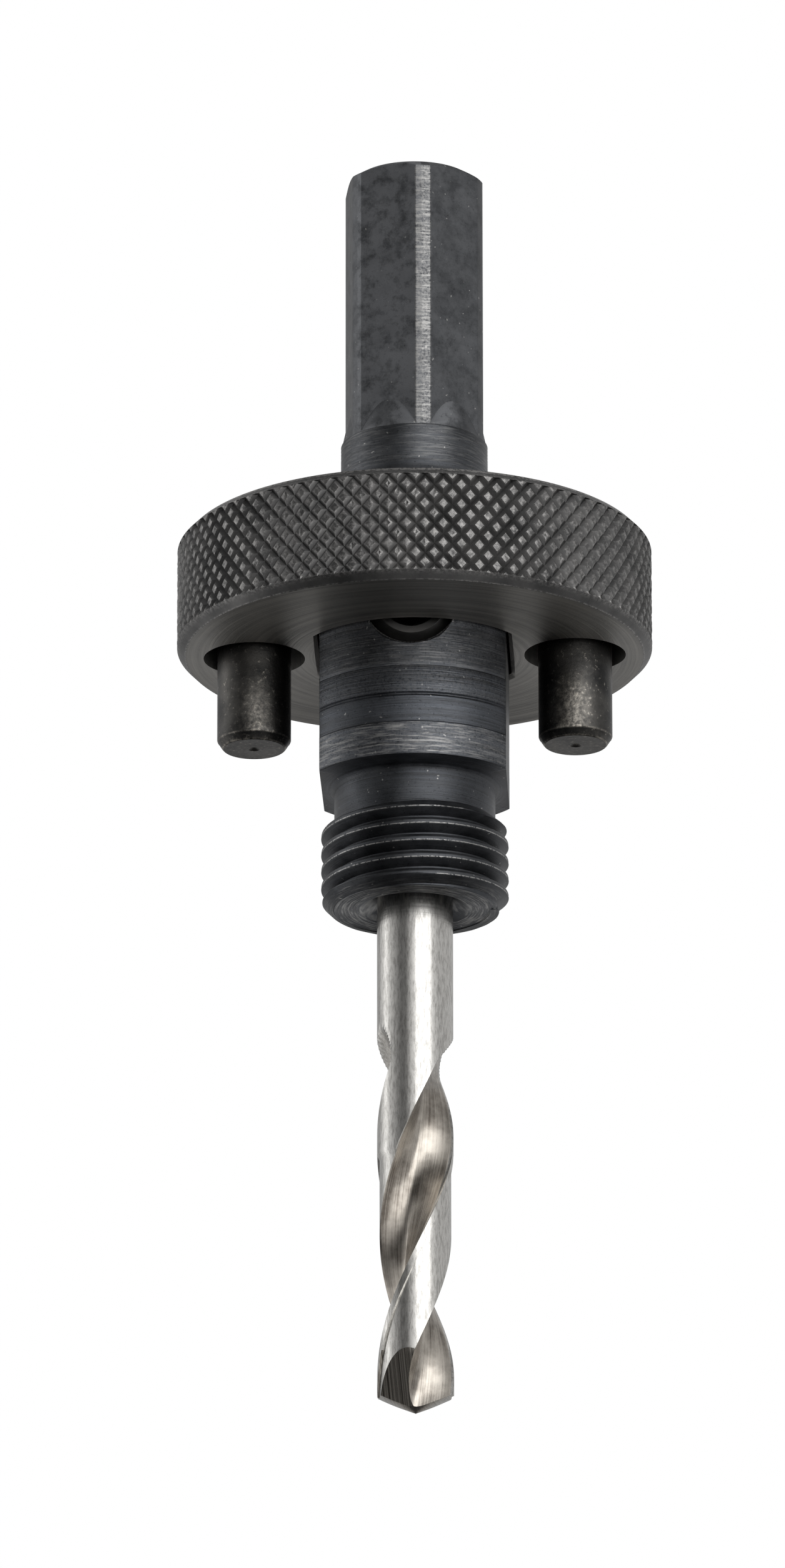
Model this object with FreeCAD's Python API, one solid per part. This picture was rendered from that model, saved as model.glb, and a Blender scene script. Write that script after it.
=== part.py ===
import FreeCAD, Part
import math
import os

# Hole saw arbor, modelled as it is made and put together.
# Origin: middle of the shoulder that the saw seats on. +Z runs up the axis to the end of the hex shank,
# -Z to the tip of the pilot drill. The two drive pins lie on X and the set screw faces -Y.
# The plate stands at the upper end of its travel, clear of the saw. All lengths are in millimetres.

Vec = FreeCAD.Vector
os.makedirs("parts", exist_ok=True)

# Shank: a hexagon milled on a round bar, so that narrow strips of the bar are left at its corners.
hex_across_flats = 11.11
shank_bar_d = 12.2
shank_length = 24.1
shank_turn = 9.0
shank_end_chamfer = 1.1
shank_end_rise = 0.7
flat_runout_length = 2.5

# Collar between the shank and the stop flange.
collar_d = 12.4
collar_height = 2.8
flange_fillet = 2.9
flange_fillet_steps = 3

# Body: two flats on round bar, with a full round flange above them that stops the plate.
body_d = 19.05
body_across_flats = 15.6
flats_length = 21.8
flange_height = 3.1
flange_chamfer = 0.4
seat_edge_chamfer = 0.25
catch_groove_width = 2.5
catch_groove_depth = 0.15

# Neck and male saw thread, drawn at the crest.
neck_d = 13.5
neck_length = 3.0
neck_fillet = 0.5
thread_crest_d = 15.7
thread_length = 7.65
thread_end_chamfer = 0.75
thread_start_chamfer = 0.9

# Axial hole for the pilot drill.
drill_bore_clearance = 0.05
bore_mouth_d = 8.9
bore_mouth_depth = 1.3
bore_end_room = 0.3
bore_end_angle = 118.0

# Drive plate. Its diameter follows from the pins and the wall outside their recesses.
plate_thickness = 9.85
plate_outer_wall = 2.23
plate_edge_chamfer = 0.7
plate_stop_gap = 0.1
plate_round_clearance = 0.1
plate_flat_clearance = 0.22
plate_bore_chamfer = 0.3

# Drive pins and their holes in the plate, set off from the flats of the body by a wall.
pin_d = 6.2
pin_press_d = 6.4
pin_inner_wall = 1.21
pin_reach = 8.05
pin_end_chamfer = 0.5
pin_end_chamfer_height = 0.7
pin_top_inset = 0.4
pin_recess_room = 1.17
pin_recess_depth = 2.4

# Set screw that clamps the pilot drill.
screw_d = 7.95
screw_hole_clearance = 0.05
screw_mouth_d = 8.75
screw_height = 14.1
screw_inset = 1.2
screw_socket_across_flats = 4.0
screw_socket_depth = 3.2
screw_end_chamfer = 0.95
screw_point_d = 5.6
screw_point_chamfer = 1.0

# Ball catch in the back of the plate's rim.
catch_height = 4.0
ball_d = 4.0
ball_running_gap = 0.03
ball_hole_clearance = 0.08
spring_wire_d = 0.4
spring_mean_d = 2.9
spring_turns = 3.0
spring_points_per_turn = 8
spring_wire_sides = 6
spring_share = 0.5
catch_screw_d = 5.0
catch_screw_inset = 0.4
catch_screw_clearance = 0.05
catch_screw_chamfer = 0.36
catch_thread_run_in = 0.2
catch_socket_across_flats = 2.5
catch_socket_share = 0.53

# Pilot drill. Angles are those of its section, from the leading edge of a land.
drill_d = 6.35
drill_length = 79.4
drill_reach = 54.4
drill_point_angle = 130.0
drill_lead = 41.7
drill_phase = -24.2
drill_web = 1.25
drill_margin_deg = 10.0
drill_land_deg = 73.8
drill_land_relief = 0.2
relief_length = 21.8
flute_length = 33.8
flute_runout = 4.7
flute_lift_deg = 127.0
flute_lift_over = 0.25
flute_steps = 16
flute_runout_steps = 4
margin_steps = 8
flute_tool_overrun = 1.3
flute_heel_lean_deg = 4.0

# Section of a flute between heel and lip: shares of the drill's radius (hook, and the lip's way along it)
# and of half the web (root, and the lip's height).
flute_hook = (0.15, 0.62)
flute_root_side = (-0.1, 1.6)
flute_root = (-1.1, 1.0)
flute_lip = (-0.62, 0.45)

# Second facet of the point, and the flat and end of the drill's shank.
heel_facet_deg = 65.0
heel_facet_start = 0.7
drill_flat_depth = 0.6
drill_flat_margin = 1.2
drill_end_chamfer = 0.4

# Heights that follow from the sizes above.
hex_r = hex_across_flats / 2.0
shank_bar_r = shank_bar_d / 2.0
body_r = body_d / 2.0
neck_r = neck_d / 2.0
thread_r = thread_crest_d / 2.0
drill_r = drill_d / 2.0
flange_top_z = flats_length + flange_height
collar_bottom_z = flange_top_z + flange_fillet
collar_top_z = collar_bottom_z + collar_height
shank_top_z = collar_top_z + shank_length
thread_top_z = -neck_length
thread_end_z = thread_top_z - thread_length
plate_top_z = flats_length - plate_stop_gap
plate_bottom_z = plate_top_z - plate_thickness
recess_top_z = plate_bottom_z + pin_recess_depth
pin_end_z = plate_bottom_z - pin_reach
drill_tip_z = -drill_reach
drill_top_z = drill_tip_z + drill_length
drill_point_height = drill_r / math.tan(math.radians(drill_point_angle / 2.0))
flute_top_z = drill_tip_z + flute_length
runout_start_z = flute_top_z - flute_runout
catch_z = plate_bottom_z + catch_height
screw_face_r = body_r - screw_inset
screw_point_r = drill_r - drill_flat_depth
ball_centre_r = body_r + ball_running_gap + ball_d / 2.0
pin_r = pin_d / 2.0
pin_press_r = pin_press_d / 2.0
pin_recess_r = pin_r + pin_recess_room
pin_x = body_across_flats / 2.0 + plate_flat_clearance + pin_inner_wall + pin_recess_r
plate_r = pin_x + pin_recess_r + plate_outer_wall
ball_back_r = ball_centre_r + ball_d / 2.0
catch_screw_outer_r = plate_r - catch_screw_inset
catch_screw_inner_r = ball_back_r + spring_share * (catch_screw_outer_r - ball_back_r)
catch_screw_length = catch_screw_outer_r - catch_screw_inner_r
catch_socket_depth = catch_socket_share * catch_screw_length
cut_margin = 1.0


def revolve(points):
    """A solid turned about Z from (radius, height) points."""
    outline = Part.makePolygon([Vec(radius, 0, height) for radius, height in points + points[:1]])
    return Part.Face(outline).revolve(Vec(0, 0, 0), Vec(0, 0, 1), 360)


def cylinder(radius, bottom, top, x=0.0, y=0.0):
    """An upright cylinder between two heights."""
    return Part.makeCylinder(radius, top - bottom, Vec(x, y, bottom))


def cone(bottom_r, top_r, bottom, top, x=0.0, y=0.0):
    """An upright cone between two heights."""
    return Part.makeCone(bottom_r, top_r, top - bottom, Vec(x, y, bottom))


def hexagon(across_flats, bottom, top, turn):
    """A hexagonal prism with one corner at the given angle from -Y towards +X."""
    corner_r = across_flats / math.sqrt(3.0)
    corners = []
    for side in range(7):
        angle = math.radians(-90.0 + turn + 60.0 * side)
        corners.append(Vec(corner_r * math.cos(angle), corner_r * math.sin(angle), bottom))
    return Part.Face(Part.makePolygon(corners)).extrude(Vec(0, 0, top - bottom))


def turn_to_radial(shape, height, facing):
    """Lay a shape that was made along +Z from the origin along -Y or +Y, at a height on the axis."""
    laid = shape.copy()
    laid.rotate(Vec(0, 0, 0), Vec(1, 0, 0), 90.0 if facing == "front" else -90.0)
    laid.translate(Vec(0, 0, height))
    return laid


def save(shape, node):
    """Write one piece, checked to be valid, to its own file."""
    if not shape.isValid():
        raise ValueError("the solid of " + node + " is not valid")
    shape.exportStep("parts/" + node + ".step")
    print(node, "volume", round(shape.Volume, 2), "solids", len(shape.Solids))


def make_arbor_body():
    """The turned bar: shank, collar, flange, double-D body, neck and thread blank, then its holes."""
    collar_r = collar_d / 2.0
    collar_edge = collar_r - shank_bar_r
    end_r = shank_bar_r - shank_end_chamfer
    fillet_r = collar_r + flange_fillet
    fillet_mid = []
    for step in range(1, flange_fillet_steps):
        angle = math.radians(90.0 * step / flange_fillet_steps)
        radius = fillet_r - flange_fillet * math.sin(angle)
        fillet_mid.append((radius, collar_bottom_z - flange_fillet * math.cos(angle)))
    bar_points = [
        (0.0, thread_end_z),
        (thread_r - thread_end_chamfer, thread_end_z),
        (thread_r, thread_end_z + thread_end_chamfer),
        (thread_r, thread_top_z - thread_start_chamfer),
        (neck_r, thread_top_z),
        (neck_r, -neck_fillet),
        (neck_r + neck_fillet, 0.0),
        (body_r - seat_edge_chamfer, 0.0),
        (body_r, seat_edge_chamfer),
        (body_r, flange_top_z - flange_chamfer),
        (body_r - flange_chamfer, flange_top_z),
        (fillet_r, flange_top_z),
        *fillet_mid,
        (collar_r, collar_bottom_z),
        (collar_r, collar_top_z - collar_edge),
        (shank_bar_r, collar_top_z),
        (hex_r, collar_top_z + flat_runout_length),
        (0.0, collar_top_z + flat_runout_length),
    ]
    bar = revolve(bar_points)
    round_bar = cylinder(shank_bar_r, collar_top_z - cut_margin, shank_top_z)
    end_cone = revolve([
        (0.0, collar_top_z - cut_margin),
        (shank_bar_r + cut_margin, collar_top_z - cut_margin),
        (shank_bar_r + cut_margin, shank_top_z - shank_end_rise * (1.0 + cut_margin / shank_end_chamfer)),
        (end_r, shank_top_z),
        (0.0, shank_top_z),
    ])
    hex_bar = hexagon(hex_across_flats, collar_top_z - cut_margin, shank_top_z, shank_turn)
    body = bar.fuse(hex_bar.common(round_bar).common(end_cone)).removeSplitter()

    # The two flats, up to the flange that stops the plate.
    flat_x = body_across_flats / 2.0
    for side in (-1, 1):
        start = flat_x if side > 0 else -flat_x - body_r
        body = body.cut(Part.makeBox(body_r, body_d, flats_length, Vec(start, -body_r, 0.0)))

    # Shallow groove that the ball of the catch drops into when the plate is down on the saw.
    low = catch_height - catch_groove_width / 2.0
    ring = cylinder(body_r + cut_margin, low, low + catch_groove_width)
    body = body.cut(ring.cut(cylinder(body_r - catch_groove_depth, low, low + catch_groove_width)))

    # Axial hole from the thread end, with its wide mouth.
    bore_r = drill_r + drill_bore_clearance
    bore_top_z = drill_top_z + bore_end_room
    point_height = bore_r / math.tan(math.radians(bore_end_angle / 2.0))
    mouth_r = bore_mouth_d / 2.0
    hole = revolve([
        (0.0, thread_end_z - cut_margin),
        (mouth_r, thread_end_z - cut_margin),
        (mouth_r, thread_end_z),
        (bore_r, thread_end_z + bore_mouth_depth),
        (bore_r, bore_top_z),
        (0.0, bore_top_z + point_height),
    ])
    body = body.cut(hole)

    # Radial hole of the set screw, from the front into the axial hole.
    hole_r = screw_d / 2.0 + screw_hole_clearance
    screw_mouth_r = screw_mouth_d / 2.0
    mouth_depth = screw_mouth_r - hole_r
    radial = Part.makeCylinder(hole_r, body_r + cut_margin, Vec(0, 0, 0))
    countersink = Part.makeCone(hole_r, screw_mouth_r, mouth_depth, Vec(0, 0, body_r - 2.0 * mouth_depth))
    outside = Part.makeCylinder(screw_mouth_r, mouth_depth + cut_margin, Vec(0, 0, body_r - mouth_depth))
    radial = radial.fuse(countersink).fuse(outside)
    return body.cut(turn_to_radial(radial, screw_height, "front"))


def double_d(radius, across_flats, bottom, top):
    """A round prism with two flats square to X."""
    corner = Vec(-across_flats / 2.0, -2.0 * radius, bottom)
    block = Part.makeBox(across_flats, 4.0 * radius, top - bottom, corner)
    return cylinder(radius, bottom, top).common(block)


def make_drive_plate():
    """The plate with its double-D hole, the two recessed pin holes and the radial hole of the catch."""
    plate = revolve([
        (0.0, plate_bottom_z),
        (plate_r - plate_edge_chamfer, plate_bottom_z),
        (plate_r, plate_bottom_z + plate_edge_chamfer),
        (plate_r, plate_top_z - plate_edge_chamfer),
        (plate_r - plate_edge_chamfer, plate_top_z),
        (0.0, plate_top_z),
    ])
    bore_r = body_r + plate_round_clearance
    bore_flats = body_across_flats + 2.0 * plate_flat_clearance
    low = plate_bottom_z - cut_margin
    high = plate_top_z + cut_margin
    plate = plate.cut(double_d(bore_r, bore_flats, low, high))
    wide = bore_r + plate_bore_chamfer
    lower_mouth = (plate_bottom_z, plate_bottom_z + plate_bore_chamfer, wide, bore_r)
    upper_mouth = (plate_top_z - plate_bore_chamfer, plate_top_z, bore_r, wide)
    for bottom, top, bottom_r, top_r in (lower_mouth, upper_mouth):
        mouth = cone(bottom_r, top_r, bottom, top).common(double_d(wide, bore_flats, bottom, top))
        plate = plate.cut(mouth)
    for side in (-1, 1):
        x = side * pin_x
        plate = plate.cut(cylinder(pin_press_r, low, high, x))
        plate = plate.cut(cylinder(pin_recess_r, low, recess_top_z, x))
    ball_hole = Part.makeCylinder(ball_d / 2.0 + ball_hole_clearance, plate_r)
    thread_hole_r = catch_screw_d / 2.0 + catch_screw_clearance
    thread_hole_start = Vec(0, 0, catch_screw_inner_r - catch_thread_run_in)
    thread_hole = Part.makeCylinder(thread_hole_r, plate_r, thread_hole_start)
    catch_hole = ball_hole.fuse(thread_hole)
    return plate.cut(turn_to_radial(catch_hole, catch_z, "back"))


def make_drive_pin(side):
    """One pin with a slightly thicker pressed end, chamfered at its free end."""
    pin = revolve([
        (0.0, pin_end_z),
        (pin_r - pin_end_chamfer, pin_end_z),
        (pin_r, pin_end_z + pin_end_chamfer_height),
        (pin_r, recess_top_z),
        (pin_press_r, recess_top_z),
        (pin_press_r, plate_top_z - pin_top_inset),
        (0.0, plate_top_z - pin_top_inset),
    ])
    pin.translate(Vec(side * pin_x, 0, 0))
    return pin


def make_grub_screw(diameter, length, chamfer, point_d, point_chamfer, socket, socket_depth):
    """A headless screw along +Z: flat point at z = 0, hexagon socket in the other end."""
    radius = diameter / 2.0
    screw = revolve([
        (0.0, 0.0),
        (point_d / 2.0, 0.0),
        (radius, point_chamfer),
        (radius, length - chamfer),
        (radius - chamfer, length),
        (0.0, length),
    ])
    pocket = hexagon(socket, length - socket_depth, length + cut_margin, 0.0)
    return screw.cut(pocket)


def make_set_screw():
    """The clamping screw, with its point on the flat of the drill's shank."""
    length = screw_face_r - screw_point_r
    screw = make_grub_screw(screw_d, length, screw_end_chamfer, screw_point_d, screw_point_chamfer,
                            screw_socket_across_flats, screw_socket_depth)
    screw.translate(Vec(0, 0, screw_point_r))
    return turn_to_radial(screw, screw_height, "front")


def make_detent_screw():
    """The screw that closes the catch hole and backs its spring."""
    point_d = catch_screw_d - 2.0 * catch_screw_chamfer
    screw = make_grub_screw(catch_screw_d, catch_screw_length, catch_screw_chamfer, point_d,
                            catch_screw_chamfer, catch_socket_across_flats, catch_socket_depth)
    screw.translate(Vec(0, 0, catch_screw_inner_r))
    return turn_to_radial(screw, catch_z, "back")


def make_detent_ball():
    """The ball of the catch, just clear of the round of the body."""
    ball = Part.makeSphere(ball_d / 2.0)
    ball.translate(Vec(0, 0, ball_centre_r))
    return turn_to_radial(ball, catch_z, "back")


def make_detent_spring():
    """An open coil spring from the ball to the screw behind it."""
    wire_r = spring_wire_d / 2.0
    coil_r = (spring_mean_d - spring_wire_d) / 2.0
    seat_distance = ball_d / 2.0 + wire_r + ball_running_gap
    start = ball_centre_r + math.sqrt(seat_distance ** 2 - coil_r ** 2)
    end = catch_screw_inner_r - wire_r
    points = []
    steps = int(spring_points_per_turn * spring_turns)
    for step in range(steps + 1):
        angle = 2.0 * math.pi * spring_turns * step / steps
        height = start + (end - start) * step / steps
        points.append(Vec(coil_r * math.cos(angle), coil_r * math.sin(angle), height))
    path = Part.BSplineCurve()
    path.interpolate(points)
    corners = []
    for corner in range(spring_wire_sides + 1):
        angle = 2.0 * math.pi * corner / spring_wire_sides
        corners.append(points[0] + Vec(wire_r * math.cos(angle), 0, wire_r * math.sin(angle)))
    spring = Part.Wire(path.toShape()).makePipeShell([Part.makePolygon(corners)], True, True)
    return turn_to_radial(spring, catch_z, "back")


def even_heights(bottom, top, steps):
    """Heights in even steps, both ends among them."""
    return [bottom + (top - bottom) * step / steps for step in range(steps + 1)]


def twisted_loft(section, heights, side):
    """Skin a tool whose section, a wire at a height, is turned along the helix of the flutes."""
    wires = []
    for height in heights:
        turn = drill_phase + 360.0 * (height - drill_tip_z) / drill_lead
        wire = section(height)
        wire.translate(Vec(0, 0, height))
        wire.rotate(Vec(0, 0, 0), Vec(0, 0, 1), turn if side > 0 else turn + 180.0)
        wires.append(wire)
    return Part.makeLoft(wires, True, False)


def polar(radius, degrees):
    """A point in the plane of a drill section."""
    angle = math.radians(degrees)
    return Vec(radius * math.cos(angle), radius * math.sin(angle), 0)


def flute_section(height):
    """Outline of the flute grinder: heel, rounded valley, straight lip side, closed outside the drill."""
    into_runout = max(0.0, (height - runout_start_z) / flute_runout)
    web = drill_web / 2.0
    lift = (drill_r - web + flute_lift_over) * into_runout * (2.0 - into_runout)
    outside = flute_tool_overrun * drill_r
    heel_deg = drill_land_deg - flute_heel_lean_deg
    valley = [
        polar(outside, heel_deg),
        polar(drill_r, drill_land_deg),
        Vec(flute_hook[0] * drill_r, flute_hook[1] * drill_r, 0),
        Vec(flute_root_side[0] * web, flute_root_side[1] * web, 0),
        Vec(flute_root[0] * web, flute_root[1] * web, 0),
        Vec(flute_lip[0] * drill_r, flute_lip[1] * web, 0),
        polar(drill_r, 180.0),
        Vec(-outside, -flute_lip[1] * web, 0),
    ]
    curve = Part.BSplineCurve()
    curve.interpolate(valley)
    far_heel = polar(2.0 * drill_r, heel_deg)
    far_edge = polar(2.0 * drill_r, 180.0)
    far_middle = polar(2.0 * drill_r, (heel_deg + 180.0) / 2.0)
    wire = Part.Wire([
        curve.toShape(),
        Part.LineSegment(valley[-1], far_edge).toShape(),
        Part.Arc(far_edge, far_middle, far_heel).toShape(),
        Part.LineSegment(far_heel, valley[0]).toShape(),
    ])
    wire.translate(polar(lift, flute_lift_deg))
    return wire


def margin_section(height):
    """Outline of the sector that keeps a margin: from inside the land's relief to outside the drill."""
    inner = drill_r - 2.0 * drill_land_relief
    outer = drill_r + 2.0 * cut_margin
    before = -drill_margin_deg
    return Part.makePolygon([
        polar(inner, before),
        polar(outer, before),
        polar(outer, drill_margin_deg),
        polar(inner, drill_margin_deg),
        polar(inner, before),
    ])


def heel_facet_cutter(side):
    """The steep second facet ground behind a lip: everything below a slanted plane."""
    lip_deg = drill_phase + 360.0 * drill_point_height / drill_lead + (180.0 if side < 0 else 0.0)
    block = Part.makeBox(4.0 * drill_d, 4.0 * drill_d, drill_d, Vec(-2.0 * drill_d, 0, -drill_d))
    block.rotate(Vec(0, 0, 0), Vec(1, 0, 0), heel_facet_deg)
    block.translate(Vec(0, heel_facet_start, drill_tip_z))
    block.rotate(Vec(0, 0, 0), Vec(0, 0, 1), lip_deg)
    return block


def make_pilot_drill():
    """Round blank with a ground point, the flutes, and the flat that the set screw bears on."""
    drill = revolve([
        (0.0, drill_tip_z),
        (drill_r, drill_tip_z + drill_point_height),
        (drill_r, drill_top_z - drill_end_chamfer),
        (drill_r - drill_end_chamfer, drill_top_z),
        (0.0, drill_top_z),
    ])
    low = drill_tip_z - cut_margin
    relief_top = drill_tip_z + relief_length
    relief = cylinder(drill_r + cut_margin, low, relief_top)
    relief = relief.cut(cylinder(drill_r - drill_land_relief, low, relief_top))
    margin_heights = even_heights(low - cut_margin, relief_top + cut_margin, margin_steps)
    for side in (-1, 1):
        relief = relief.cut(twisted_loft(margin_section, margin_heights, side))
    drill = drill.cut(relief)
    flute_heights = even_heights(low, runout_start_z, flute_steps)
    flute_heights += even_heights(runout_start_z, flute_top_z, flute_runout_steps)[1:]
    for side in (-1, 1):
        drill = drill.cut(twisted_loft(flute_section, flute_heights, side))
        drill = drill.cut(heel_facet_cutter(side))
    flat_low = screw_height - screw_d / 2.0 - drill_flat_margin
    flat = Part.makeBox(drill_d, drill_d, drill_top_z - flat_low + cut_margin,
                        Vec(-drill_r, -screw_point_r - drill_d, flat_low))
    return drill.cut(flat)


save(make_arbor_body(), "arbor_body")
save(make_drive_plate(), "drive_plate")
save(make_drive_pin(-1), "drive_pin_left")
save(make_drive_pin(1), "drive_pin_right")
save(make_pilot_drill(), "pilot_drill")
save(make_set_screw(), "set_screw")
save(make_detent_ball(), "detent_ball")
save(make_detent_spring(), "detent_spring")
save(make_detent_screw(), "detent_screw")
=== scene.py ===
import math

import bmesh
import bpy
import numpy as np
from mathutils import Matrix, Vector


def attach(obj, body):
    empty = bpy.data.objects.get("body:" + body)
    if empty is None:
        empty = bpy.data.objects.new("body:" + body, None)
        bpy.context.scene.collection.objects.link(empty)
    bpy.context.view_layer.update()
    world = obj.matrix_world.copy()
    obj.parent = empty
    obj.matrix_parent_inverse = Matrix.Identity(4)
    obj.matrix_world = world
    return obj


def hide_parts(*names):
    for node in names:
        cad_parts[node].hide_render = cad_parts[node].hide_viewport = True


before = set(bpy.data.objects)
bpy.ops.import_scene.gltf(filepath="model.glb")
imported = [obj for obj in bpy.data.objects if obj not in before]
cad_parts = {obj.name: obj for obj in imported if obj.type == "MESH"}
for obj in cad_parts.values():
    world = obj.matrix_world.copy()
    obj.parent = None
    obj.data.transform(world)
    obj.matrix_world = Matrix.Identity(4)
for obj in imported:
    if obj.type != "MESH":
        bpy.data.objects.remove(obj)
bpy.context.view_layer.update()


# Arbor body
# One bar of alloy steel, turned from shank to thread end, milled to a hexagon for the chuck and two flats for
# the plate, drilled, and blackened hot. Sizes are in millimetres, with the origin on the saw's seat.
MM = 0.001
HEX_FLATS, HEX_CORNER = 11.11, -81.0
BAR_R, SHANK_TOP, SHANK_FOOT, RUNOUT = 6.1, 54.7, 30.6, 2.5
CROWN_R, CROWN_DROP = 5.0, 0.7
COLLAR_R, COLLAR_FOOT, FILLET = 6.2, 27.8, 2.9
BODY_R, BODY_HALF = 9.525, 7.8
FLANGE_TOP, FLANGE_FOOT, FLANGE_EDGE = 24.9, 21.8, 0.4
STOP_LINE, BAND_TOP = 7.85, 2.82
NECK_R, CORE_R, THREAD_END = 6.75, 6.85, -10.65
BORE_R, BORE_TOP, MOUTH_R = 3.225, 25.3, 4.45
RIDGE = 0.03


def around(*corners):
    """Angles round the axis in degrees: an even ring of 480, with the given corners put in among them."""
    even = np.arange(480) * 0.75 - 90.0
    return np.unique(np.round(np.concatenate([even, np.mod(np.array(corners) + 90.0, 360.0) - 90.0]), 5))


def closed_skin(name, x, y, z, ring=False, split=None):
    """Mesh of a grid of points. Columns run round and the last joins the first. Rows run along the shape:
    the first and the last are closed by a fan to their middle, or, with ring, the last joins the first.
    Where split holds signs, a quad is cut along its rising diagonal (1) or its falling one (-1)."""
    rows, columns = x.shape
    points = np.stack([x, y, z], -1).reshape(-1, 3)
    top = rows if ring else rows - 1
    i, j = np.meshgrid(np.arange(top), np.arange(columns), indexing="ij")
    below, beside = (i + 1) % rows, (j + 1) % columns
    a, b, c, d = (i * columns + j), (below * columns + j), (below * columns + beside), (i * columns + beside)
    if split is None:
        faces = np.stack([a, b, c, d], -1).reshape(-1, 4).tolist()
    else:
        rising = (split > 0)[..., None]
        first = np.where(rising, np.stack([a, b, d], -1), np.stack([a, b, c], -1)).reshape(-1, 3)
        second = np.where(rising, np.stack([b, c, d], -1), np.stack([a, c, d], -1)).reshape(-1, 3)
        faces = np.concatenate([first, second]).tolist()
    if not ring:
        start, end = len(points), len(points) + 1
        points = np.concatenate([points, points[:columns].mean(0)[None], points[-columns:].mean(0)[None]])
        k = np.arange(columns)
        n = (k + 1) % columns
        last = (rows - 1) * columns
        faces += np.stack([np.full(columns, start), k, n], -1).tolist()
        faces += np.stack([np.full(columns, end), last + n, last + k], -1).tolist()
    mesh = bpy.data.meshes.new(name)
    mesh.from_pydata((points * MM).tolist(), [], faces)
    work = bmesh.new()
    work.from_mesh(mesh)
    bmesh.ops.remove_doubles(work, verts=work.verts, dist=2e-7)
    bmesh.ops.dissolve_degenerate(work, edges=work.edges, dist=1e-8)
    bmesh.ops.recalc_face_normals(work, faces=work.faces)
    work.to_mesh(mesh)
    work.free()
    piece = bpy.data.objects.new(name, mesh)
    bpy.context.scene.collection.objects.link(piece)
    return piece


def round_skin(name, radius, degrees, height, **how):
    """Closed skin of a grid given round the axis: x is the radius times the cosine of the angle, y is the
    radius times its sine, and z is the height."""
    angle = np.radians(degrees)
    return closed_skin(name, radius * np.cos(angle), radius * np.sin(angle), height, **how)


def turned(name, profile, place=None, columns=96, shape=None):
    """Solid of revolution about Z from (radius, height) rows. With shape, a function of the radii, heights
    and angles, the radii change round the axis. place is a turn and shift (4 by 4) put on the points."""
    t = np.linspace(0.0, 2.0 * np.pi, columns, endpoint=False)[None]
    r = np.array([p[0] for p in profile])[:, None] + 0.0 * t
    h = np.array([p[1] for p in profile])[:, None] + 0.0 * t
    if shape:
        r = shape(r, h, t)
    x, y, z = r * np.cos(t), r * np.sin(t), h
    if place is not None:
        x, y, z = (place[k, 0] * x + place[k, 1] * y + place[k, 2] * z + place[k, 3] for k in range(3))
    return closed_skin(name, x, y, z)


def carve(piece, *cutters):
    """Take the cutters away from a piece, and the cutters out of the scene."""
    for cutter in cutters:
        step = piece.modifiers.new("cut", "BOOLEAN")
        step.operation, step.solver, step.object = "DIFFERENCE", "MANIFOLD", cutter
        kept = bpy.data.meshes.new_from_object(piece.evaluated_get(bpy.context.evaluated_depsgraph_get()))
        piece.modifiers.clear()
        piece.data = kept
        bpy.data.objects.remove(cutter)


def coordinates(piece):
    """Point coordinates of a piece in millimetres, as three arrays."""
    co = np.empty(len(piece.data.vertices) * 3, np.float32)
    piece.data.vertices.foreach_get("co", co)
    return co.reshape(-1, 3).T / MM


def tell(piece, name, values, domain="POINT"):
    """Keep one number per point, or per face, on a piece, for its material."""
    kept = piece.data.attributes.new(name, "FLOAT", domain)
    kept.data.foreach_set("value", np.ravel(values).astype(np.float32))


def dress(piece, material, body, edge_deg=28.0):
    """Smooth shading up to an angle, one material, and the CAD body that the piece belongs to."""
    mesh = piece.data
    mesh.materials.clear()
    mesh.materials.append(material)
    mesh.polygons.foreach_set("use_smooth", np.ones(len(mesh.polygons), bool))
    mesh.set_sharp_from_angle(angle=math.radians(edge_deg))
    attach(piece, body)


def hexagon_radius(across_flats, degrees, corner_deg):
    """Distance from the axis to a hexagon's side: half the width over the cosine from the nearest flat."""
    from_flat = np.mod(degrees - corner_deg, 60.0) - 30.0
    return across_flats / 2.0 / np.cos(np.radians(from_flat))


def arch_height(radius):
    """Foot of a shank flat, where the cutter ran out: it rises in line with the flat's depth in the bar."""
    return SHANK_FOOT + RUNOUT * (BAR_R - radius) / (BAR_R - HEX_FLATS / 2.0)


strip = math.degrees(math.acos(HEX_FLATS / 2.0 / BAR_R))
strips = [HEX_CORNER + 60.0 * k + 30.0 + s * strip for k in range(6) for s in (-1, 1)]
flat_end = math.degrees(math.acos(BODY_HALF / BODY_R))
deg = around(*strips, flat_end, -flat_end, 180.0 - flat_end, 180.0 + flat_end)
one = np.ones_like(deg)
shank_r = np.minimum(BAR_R, hexagon_radius(HEX_FLATS, deg, HEX_CORNER))
double_d = np.minimum(BODY_R, BODY_HALF / np.maximum(np.abs(np.cos(np.radians(deg))), 1e-6))

# Rows of the skin, each a radius and a height round the axis. Shank: the crowned end, the flats down to
# their arches, and the arches down to the full round.
crown = SHANK_TOP - CROWN_DROP * (shank_r - CROWN_R) / (BAR_R - CROWN_R)
arch = arch_height(shank_r)
shank_top, shank_low = crown - 0.05, arch + 0.06
rows = [(CROWN_R * one, SHANK_TOP * one), (shank_r - 0.06, crown + 0.05), (shank_r, shank_top)]
rows += [(shank_r, shank_top + (shank_low - shank_top) * k / 12.0) for k in range(1, 13)]
rows += [(shank_r + (BAR_R - shank_r) * k / 4.0, arch + (SHANK_FOOT - arch) * k / 4.0) for k in range(5)]

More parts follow.
